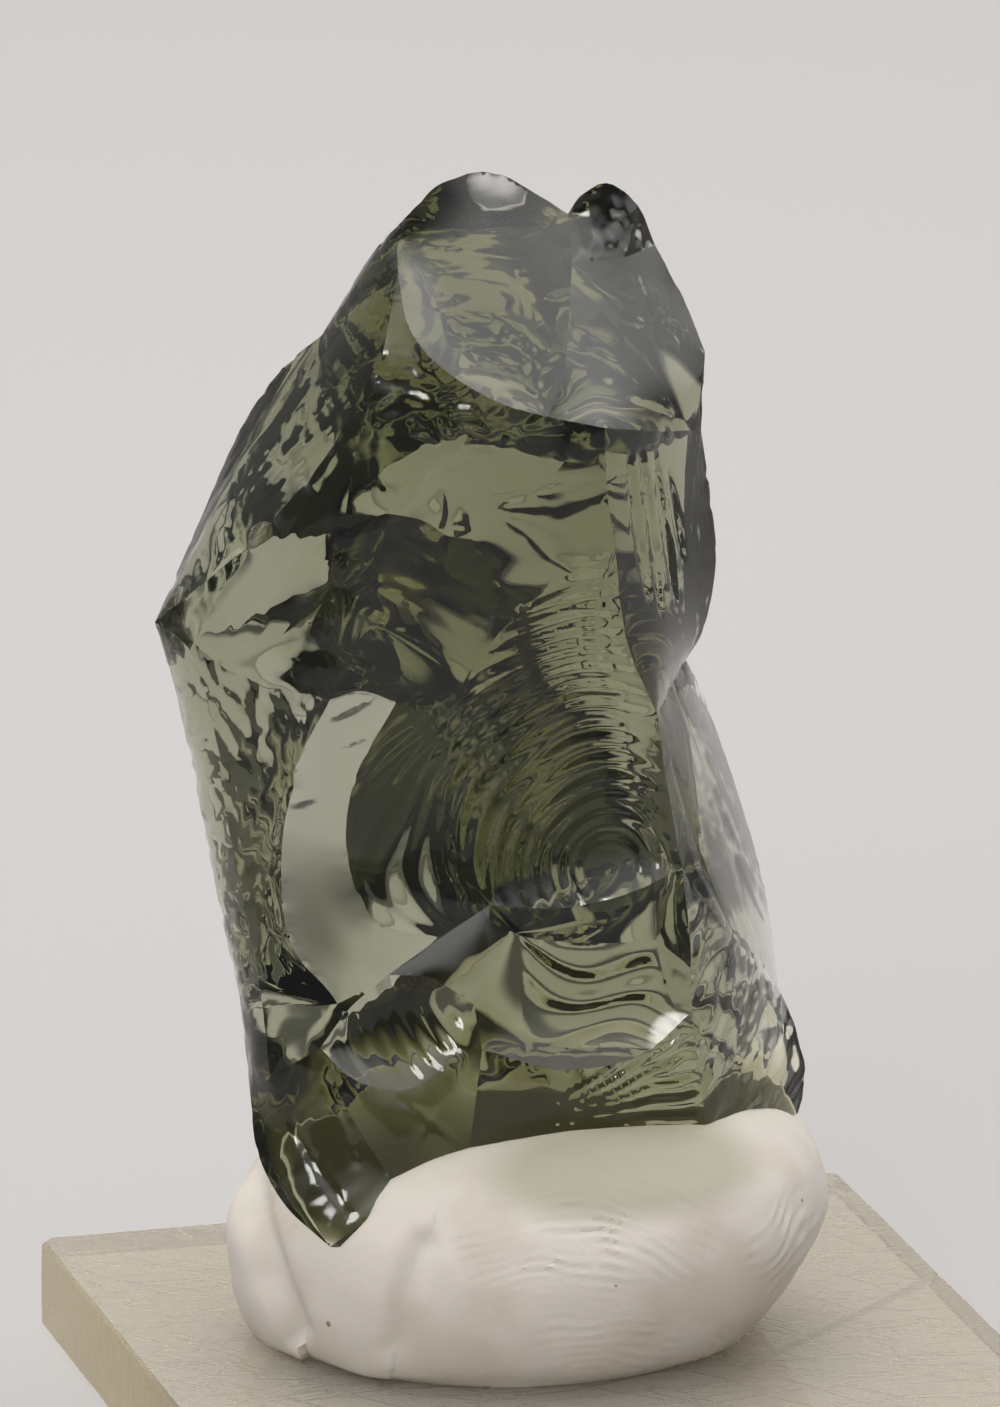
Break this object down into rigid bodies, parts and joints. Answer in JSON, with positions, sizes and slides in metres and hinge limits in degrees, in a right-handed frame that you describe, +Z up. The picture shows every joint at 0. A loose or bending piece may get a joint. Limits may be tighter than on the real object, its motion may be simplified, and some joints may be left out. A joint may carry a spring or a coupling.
{
  "type": "andara crystal",
  "caption": "Broken lump of dark green clear natural glass with shell-shaped scars, standing in a ball of white putty on a small clear yellowed slab.",
  "frame": {"origin": "middle of the slab's underside", "axes": "+Z up, +X and +Y along the slab's sides, -Y towards the specimen's front"},
  "size_m": [0.04, 0.04, 0.0587],
  "materials": {
    "green_glass": "clear dark green natural glass, freshly broken, mirror-smooth scars with ripples and hackle",
    "white_putty": "hand-pressed white putty, satin, with fold lines and fine finger ridges",
    "yellowed_acrylic": "clear acrylic yellowed with age, scratched top, sawn edges"
  },
  "bodies": {
    "root": {"crystal": "green_glass", "putty": "white_putty", "slab": "yellowed_acrylic"}
  },
  "joints": []
}
